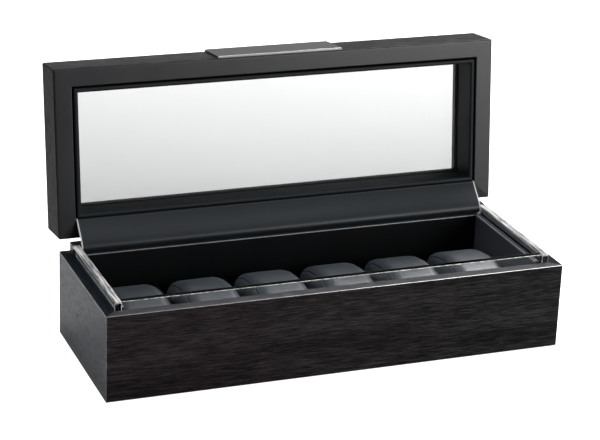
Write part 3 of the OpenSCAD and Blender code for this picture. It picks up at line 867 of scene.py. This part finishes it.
# The back rail keeps its plain node: veneered, and painted black on its rim, below rim_level.
back_rail_finish = veneer("lid back rail finish", (lid_turn, 0, 0), 0.12, *case_stain)
back_tree = back_rail_finish.node_tree
back_shader = back_tree.nodes["Principled BSDF"]
turned_axis = Matrix.Rotation(open_angle, 3, "X") @ Vector((0, axis_y, axis_z))
rim_level = lid_bottom - axis_z + turned_axis.z + edge_r
shut_height = put(back_tree, "SeparateXYZ", {"Vector": object_place(back_tree, (lid_turn, 0, 0))})
is_rim = math_node(back_tree, "LESS_THAN", shut_height.outputs["Z"], rim_level)
back_stain = back_shader.inputs["Base Color"].links[0].from_socket
back_colour = blend_colours(back_tree, is_rim, back_stain, (0.003, 0.003, 0.0035, 1))
back_tree.links.new(back_colour, back_shader.inputs["Base Color"])
dress("lid_back_rail", back_rail_finish)

# ---- Inner frame of the lid ----
# Four thin boards wrapped in leather line the lid, a groove away from the rails. Their free edges
# are rolled to a bead, and a band beside the glass is painted black.
inner_t = 3.3 * MM
glass_t = 3.0 * MM
tape_t = 0.6 * MM
glass_low = lid_top - lip_t - glass_t
frame_x = case_w / 2 - rail_w - groove_w
frame_y = case_d / 2 - rail_w - groove_w
frame_leather = leather(
    "lid frame leather", (0.0014, 0.0021, 0.0027), (0.0028, 0.0042, 0.0052), 0.5, 0.1, 1400.0, 0.12
)
edge_paint = lacquer("black edge paint", (0.0012, 0.0012, 0.0013, 1), 0.55, 0.7, 0.03)
painted_h = 3.6 * MM
bead_r = 1.3 * MM
board_top = glass_low - tape_t
for part, length, turn, place in (
    ("front", 2 * frame_x, 0, (0, -frame_y, 0)),
    ("back", 2 * frame_x, 180, (0, frame_y, 0)),
    ("left", 2 * frame_y, -90, (-frame_x, 0, 0)),
    ("right", 2 * frame_y, 90, (frame_x, 0, 0)),
):
    bead = add_block(
        f"lid_lining_{part}", (-length / 2, 0, lid_bottom), (length / 2, inner_t, board_top)
    )
    for side in (-1, 1):
        mitre_end(length, side)
    slice_block((0, 0, board_top - painted_h), (0, 0, 1), drop=False)
    round_edges(
        bead, lambda middle, along: abs(along.x) > 0.9 and is_near(middle.z, lid_bottom), bead_r, 5
    )
    bead.data.materials.append(frame_leather)
    bead.data.materials.append(edge_paint)
    paint(bead, 1, lambda middle, normal: middle.z > board_top - painted_h)
    set_down(bead, turn, place)
    open_up()
    fit(bead, "lid", f"lid_frame_{part}", "leather")

# ---- Foam tape ----
# A thin tape of black closed-cell foam, stuck all round on top of the inner frame. The glass is
# bedded on it.
foam, foam_tree, foam_shader = new_material("black foam tape", Roughness=0.9)
foam_cells = put(
    foam_tree, "TexVoronoi", {"Vector": object_place(foam_tree), "Scale": 2500}
).outputs["Distance"]
foam_colour = blend_colours(foam_tree, foam_cells, (0.003, 0.003, 0.003, 1), (0.01, 0.01, 0.01, 1))
foam_bump = put(foam_tree, "Bump", {"Height": foam_cells, "Strength": 0.2, "Distance": 0.05 * MM})
foam_tree.links.new(foam_colour, foam_shader.inputs["Base Color"])
foam_tree.links.new(foam_bump.outputs[0], foam_shader.inputs["Normal"])
dress("glass_tape", foam)

# ---- Glass ----
# A pane of float glass with ground edges, held between the tape and the lips of the rails. Its
# grey, darkest near the hinge and fading towards the front of the lid, is painted shade that stands
# in for the box's shadow on the floor seen through the glass.
shade_from, shade_to = 80 * MM, 190 * MM
glass_clearance = 0.3 * MM
ground_edge = 0.3 * MM
glass, glass_tree, glass_shader = new_material("clear glass", Transmission_Weight=1.0, IOR=1.2)
glass_height = put(glass_tree, "SeparateXYZ", {"Vector": object_place(glass_tree)}).outputs["Z"]
tint_feeds = {"Value": glass_height, "From Min": shade_from, "From Max": shade_to}
glass_shade_share = put(glass_tree, "MapRange", tint_feeds)
# Painted shade: the glass is greyer low down, towards the hinge, where the floor behind the box
# lies in shadow.
glass_painted_shade = blend_colours(
    glass_tree, glass_shade_share.outputs[0], (0.53, 0.535, 0.535, 1), (0.94, 0.945, 0.945, 1)
)
glass_tree.links.new(glass_painted_shade, glass_shader.inputs["Base Color"])
smudge(glass_tree, glass_shader, 0.0, 0.004)
let_light_in(glass_tree, glass_shader, 0.85)
glass_x = case_w / 2 - rail_w - glass_clearance
glass_y = case_d / 2 - rail_w - glass_clearance
pane = add_block(
    "glass_pane", (-glass_x, -glass_y, glass_low), (glass_x, glass_y, glass_low + glass_t)
)
round_edges(pane, lambda middle, along: True, ground_edge, 1)
open_up()
fit(pane, "lid", "lid_glass", "glass", glass)

# ---- Lift plate ----
# A brushed metal plate with polished bevels on the front of the lid, to lift it by. It is screwed
# on from inside.
plate_w = 96 * MM
plate_t = 1.6 * MM
plate_inset = 0.9 * MM
plate_bevel = 0.5 * MM
plate_face = -case_d / 2 - plate_t
brushed, brushed_tree, brushed_shader = new_material("brushed metal", Metallic=1.0)
brush_marks = put(
    brushed_tree, "TexNoise",
    {"Vector": object_place(brushed_tree, (lid_turn, 0, 0), scale=(18, 3200, 3200)),
     "Scale": 1, "Detail": 4},
).outputs[0]
brushed_colour = blend_colours(
    brushed_tree, brush_marks, (0.06, 0.06, 0.059, 1), (0.13, 0.13, 0.128, 1)
)
brushed_level = put(brushed_tree, "MapRange", {"Value": brush_marks, "To Min": 0.3, "To Max": 0.46})
brushed_bump = put(
    brushed_tree, "Bump", {"Height": brush_marks, "Strength": 0.25, "Distance": 0.03 * MM}
)
brushed_tree.links.new(brushed_colour, brushed_shader.inputs["Base Color"])
brushed_tree.links.new(brushed_level.outputs[0], brushed_shader.inputs["Roughness"])
brushed_tree.links.new(brushed_bump.outputs[0], brushed_shader.inputs["Normal"])
polished, polished_tree, polished_shader = new_material(
    "polished bevel", Metallic=1.0, Base_Color=(0.42, 0.42, 0.41, 1)
)
smudge(polished_tree, polished_shader, 0.12, 0.22)
plate = add_block(
    "lift_plate_brushed",
    (-plate_w / 2, plate_face, lid_bottom + plate_inset),
    (plate_w / 2, -case_d / 2, lid_top - plate_inset),
)
round_edges(plate, lambda middle, along: is_near(middle.y, plate_face), plate_bevel, 2)
plate.data.materials.append(brushed)
plate.data.materials.append(polished)
paint(plate, 1, lambda middle, normal: -0.95 < normal.y < -0.05)
open_up()
fit(plate, "lid", "lift_plate", "brushed_plate", smooth=20)

# ---- Cushions ----
# Six removable watch cushions: foam in a sewn cover of slate-grey satin leather, a wrapped body
# closed at each end by a panel. The seams pull the cover in a little way from each end.
cushion_low, cushion_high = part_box("cushion_1")
cushion_middle = (Vector(cushion_low) + Vector(cushion_high)) / 2
cushion_size = Vector(cushion_high) - Vector(cushion_low)
swell_room = 1.6 * MM
seam_inset = 4.6 * MM
voxel = 4.0 * MM
most_swell = 5.0 * MM
swell_steps = 20
flat_share = 0.48
end_round = 0.54
seam_half_w = 1.1 * MM
seam_depth = 1.3 * MM
seam_x = cushion_size.x / 2 - seam_inset
crease_most = 0.35 * MM
crease_scale = 28
cushion_leather = leather(
    "cushion leather", (0.0095, 0.0122, 0.015), (0.0215, 0.027, 0.0325), 0.44, 0.45, 1300.0, 0.25
)
seam_tree = cushion_leather.node_tree
seam_shader = seam_tree.nodes["Principled BSDF"]
# The seam lines are painted near black, as painted shade in the seam grooves.
seam_shade_mask = put(seam_tree, "Attribute", attribute_name="seam").outputs["Fac"]
dyed = seam_shader.inputs["Base Color"].links[0].from_socket
shaded = blend_colours(seam_tree, seam_shade_mask, dyed, (0.0015, 0.0018, 0.002, 1))
seam_tree.links.new(shaded, seam_shader.inputs["Base Color"])


def add_copy(name, mesh):
    """Adds a copy of a mesh as the one selected object."""
    bpy.ops.object.select_all(action="DESELECT")
    copy = bpy.data.objects.new(name, mesh.copy())
    bpy.context.scene.collection.objects.link(copy)
    bpy.context.view_layer.objects.active = copy
    copy.select_set(True)
    return copy


def swell(piece):
    """Blows the cover up against its pinned seams, as firm foam does."""
    pinned = piece.vertex_groups.new(name="seams")
    for vertex in piece.data.vertices:
        off_seam = abs(abs(vertex.co.x - cushion_middle.x) - (seam_x - swell_room))
        if off_seam < 0.55 * voxel:
            pinned.add([vertex.index], 1.0 - off_seam / (1.5 * voxel), "REPLACE")
    before = [vertex.co.copy() for vertex in piece.data.vertices]
    cloth = piece.modifiers.new("swell", "CLOTH")
    cloth.settings.use_pressure = True
    cloth.settings.uniform_pressure_force = 4
    cloth.settings.effector_weights.gravity = 0
    cloth.settings.vertex_group_mass = "seams"
    for step in range(1, swell_steps + 1):
        bpy.context.scene.frame_set(step)
    bpy.ops.object.modifier_apply(modifier="swell")
    for vertex, start in zip(piece.data.vertices, before):
        moved = vertex.co - start
        if moved.length > most_swell:
            vertex.co = start + moved * (most_swell / moved.length)


cushion = add_copy("cushion_pattern", frame["nodes"]["cushion_1"].data)
cushion.data.materials.clear()
bpy.ops.object.mode_set(mode="EDIT")
bpy.ops.mesh.select_all(action="SELECT")
bpy.ops.mesh.remove_doubles(threshold=0.01 * MM)
bpy.ops.object.mode_set(mode="OBJECT")
shrink = [1 - 2 * swell_room / side for side in cushion_size]
for vertex in cushion.data.vertices:
    away = vertex.co - cushion_middle
    vertex.co = cushion_middle + Vector(a * s for a, s in zip(away, shrink))
remesh = cushion.modifiers.new("even", "REMESH")
remesh.mode = "VOXEL"
remesh.voxel_size = voxel
bpy.ops.object.modifier_apply(modifier="even")
swell(cushion)
smoother = cushion.modifiers.new("smooth", "SUBSURF")
smoother.levels = 2
smoother.render_levels = 2
bpy.ops.object.modifier_apply(modifier="smooth")

# Bring the cover back to its true size.
for axis in range(3):
    values = [vertex.co[axis] for vertex in cushion.data.vertices]
    low, high = min(values), max(values)
    for vertex in cushion.data.vertices:
        share = (vertex.co[axis] - low) / (high - low)
        vertex.co[axis] = cushion_low[axis] + share * cushion_size[axis]

# Round the ends down, as the foam does where the end panels draw the cover in.
for vertex in cushion.data.vertices:
    out = abs(vertex.co.x - cushion_middle.x) / (cushion_size.x / 2)
    drawn_in = math.sqrt(1 - end_round * max(0.0, (out - flat_share) / (1 - flat_share)) ** 2)
    vertex.co.y = cushion_middle.y + (vertex.co.y - cushion_middle.y) * drawn_in
    vertex.co.z = cushion_middle.z + (vertex.co.z - cushion_middle.z) * drawn_in

# Cut in the two seams, sink them, and mark them for painted shade: their dark colour stands in for
# the shade in the sunk seams.
for side in (-1, 1):
    for offset in (-seam_half_w, 0, seam_half_w):
        slice_block((cushion_middle.x + side * seam_x + offset, 0, 0), (1, 0, 0), drop=False)
pick(
    cushion, "EDGE",
    lambda middle, along: abs(along.x) < 0.02
    and is_near(abs(middle.x - cushion_middle.x), seam_x, 0.01 * MM),
)
bpy.ops.transform.shrink_fatten(value=-seam_depth)
bpy.ops.object.mode_set(mode="OBJECT")
seam_shade_line = cushion.data.attributes.new("seam", "FLOAT", "POINT")
for vertex, value in zip(cushion.data.vertices, seam_shade_line.data):
    if is_near(abs(vertex.co.x - cushion_middle.x), seam_x, 0.01 * MM):
        value.value = 1.0

for number in range(1, 7):
    low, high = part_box(f"cushion_{number}")
    shift = (low[0] + high[0]) / 2 - cushion_middle.x
    copy = add_copy(f"watch_cushion_{number}", cushion.data)
    for vertex in copy.data.vertices:
        soft_place = vertex.co * crease_scale + Vector((0, 0, 5.0 * number))
        inwards = (cushion_middle - vertex.co).normalized()
        vertex.co += inwards * crease_most * (1 + noise.noise(soft_place))
        vertex.co.x += shift
        vertex.co.z = max(vertex.co.z, cushion_low[2])
    fit(
        copy, f"cushion_{number}", f"cushion_{number}", "cushion_leather", cushion_leather,
        smooth=70,
    )
bpy.data.objects.remove(cushion)
